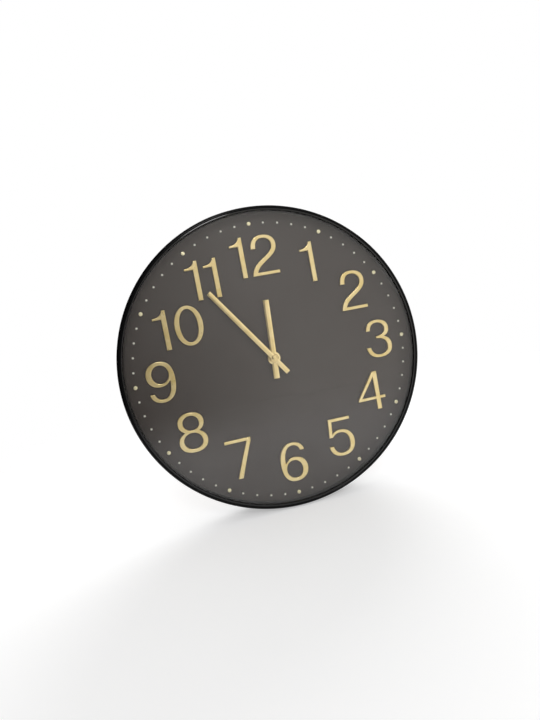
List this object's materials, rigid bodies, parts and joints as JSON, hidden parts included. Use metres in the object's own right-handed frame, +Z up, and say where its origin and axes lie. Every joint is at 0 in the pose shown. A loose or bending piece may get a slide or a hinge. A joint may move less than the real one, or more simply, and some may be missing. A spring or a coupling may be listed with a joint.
{
  "type": "wall clock",
  "caption": "Round battery wall clock: black dial with raised gold numerals and hands under flat glass, narrow black rim, quartz movement behind.",
  "frame": {"origin": "the nail's place: on the wall plane, where the top of the hanger's slot bears on the nail, 41 mm above the dial's centre", "axes": "+Z up, towards 12 o'clock; the dial faces -Y; +Y goes into the wall; +X to the viewer's right"},
  "size_m": [0.3, 0.038, 0.3],
  "materials": {
    "rim_black": "high gloss moulded black",
    "glass": "clear, polished, flat",
    "spacer_black": "semi gloss black",
    "dial_black": "hardboard with a satin black printed face, bare brown at the back",
    "numeral_gold": "satin pale gold plating on plastic",
    "hand_gold": "satin pale gold anodised",
    "brass": "turned brass",
    "rubber": "matt black",
    "steel": "zinc plated",
    "movement_black": "fine spark texture",
    "acetal_white": "natural white acetal",
    "rotor_grey": "sintered magnet with a moulded pinion",
    "battery_can": "plain printed sleeve, no text",
    "copper_wire": null,
    "board_green": "green solder mask"
  },
  "bodies": {
    "case": {"bushing_nut": "brass", "bushing_washer": "brass", "case_rim": "rim_black", "circuit_board": "board_green", "coil_bobbin": "acetal_white", "coil_core": "steel", "coil_winding": "copper_wire", "contact_negative": "steel", "contact_positive": "steel", "dial_board": "dial_black", "front_glass": "glass", "hanger_plate": "steel", "hour_stud_1": "numeral_gold", "hour_stud_10": "numeral_gold", "hour_stud_11": "numeral_gold", "hour_stud_12": "numeral_gold", "hour_stud_2": "numeral_gold", "hour_stud_3": "numeral_gold", "hour_stud_4": "numeral_gold", "hour_stud_5": "numeral_gold", "hour_stud_6": "numeral_gold", "hour_stud_7": "numeral_gold", "hour_stud_8": "numeral_gold", "hour_stud_9": "numeral_gold", "middle_plate": "acetal_white", "movement_back_cover": "movement_black", "movement_front_shell": "movement_black", "numeral_1": "numeral_gold", "numeral_10_1": "numeral_gold", "numeral_10_2": "numeral_gold", "numeral_11_1": "numeral_gold", "numeral_11_2": "numeral_gold", "numeral_12_1": "numeral_gold", "numeral_12_2": "numeral_gold", "numeral_2": "numeral_gold", "numeral_3": "numeral_gold", "numeral_4": "numeral_gold", "numeral_5": "numeral_gold", "numeral_6": "numeral_gold", "numeral_7": "numeral_gold", "numeral_8": "numeral_gold", "numeral_9": "numeral_gold", "quartz_crystal": "steel", "rubber_gasket": "rubber", "spacer_ring": "spacer_black", "stator_plate": "steel"},
    "minute_shaft": {"minute_hand": "hand_gold", "hand_cap": "hand_gold", "centre_arbor": "brass"},
    "hour_shaft": {"hour_hand": "hand_gold", "hour_wheel": "acetal_white"},
    "motion_wheel": {"minute_wheel": "acetal_white"},
    "knob": {"setting_knob": "movement_black"},
    "drive_wheel": {"centre_wheel": "acetal_white"},
    "third": {"third_wheel": "acetal_white"},
    "fourth": {"fourth_wheel": "acetal_white"},
    "fifth": {"fifth_wheel": "acetal_white"},
    "rotor": {"rotor": "rotor_grey"},
    "battery": {"battery_cell": "battery_can"}
  },
  "joints": [
    {"name": "minute_turn", "type": "hinge", "parent": "case", "child": "minute_shaft", "pos_m": [0, -0.01, -0.041], "axis": [0, 1, 0], "continuous": true},
    {"name": "hour_turn", "type": "hinge", "parent": "case", "child": "hour_shaft", "pos_m": [0, -0.01, -0.041], "axis": [0, 1, 0], "continuous": true},
    {"name": "motion_wheel_turn", "type": "hinge", "parent": "case", "child": "motion_wheel", "pos_m": [0.00564, -0.01, -0.04305], "axis": [0, 1, 0], "continuous": true},
    {"name": "knob_turn", "type": "hinge", "parent": "case", "child": "knob", "pos_m": [0.01155, -0.01, -0.04409], "axis": [0, 1, 0], "continuous": true},
    {"name": "fifth_wheel_turn", "type": "hinge", "parent": "case", "child": "fifth", "pos_m": [0.0036, -0.01, -0.03476], "axis": [0, 1, 0], "continuous": true},
    {"name": "rotor_turn", "type": "hinge", "parent": "case", "child": "rotor", "pos_m": [0.01018, -0.01, -0.03237], "axis": [0, 1, 0], "continuous": true},
    {"name": "fourth_wheel_turn", "type": "hinge", "parent": "case", "child": "fourth", "pos_m": [0, -0.01, -0.041], "axis": [0, 1, 0], "continuous": true},
    {"name": "third_wheel_turn", "type": "hinge", "parent": "case", "child": "third", "pos_m": [-0.00736, -0.01, -0.03675], "axis": [0, 1, 0], "continuous": true},
    {"name": "centre_wheel_turn", "type": "hinge", "parent": "case", "child": "drive_wheel", "pos_m": [0, -0.01, -0.041], "axis": [0, 1, 0], "continuous": true},
    {"name": "battery_slide", "type": "slide", "parent": "case", "child": "battery", "axis": [0, 1, 0], "range_m": [0, 0.03]}
  ],
  "couplings": [
    {"joint": "hour_turn", "follows": "minute_turn", "ratio": 0.083333},
    {"joint": "motion_wheel_turn", "follows": "minute_turn", "ratio": -0.33333},
    {"joint": "knob_turn", "follows": "minute_turn", "ratio": 1},
    {"joint": "rotor_turn", "follows": "fifth_wheel_turn", "ratio": -6},
    {"joint": "fourth_wheel_turn", "follows": "fifth_wheel_turn", "ratio": -0.2},
    {"joint": "third_wheel_turn", "follows": "fifth_wheel_turn", "ratio": 0.026667},
    {"joint": "centre_wheel_turn", "follows": "fifth_wheel_turn", "ratio": -0.0033333}
  ]
}
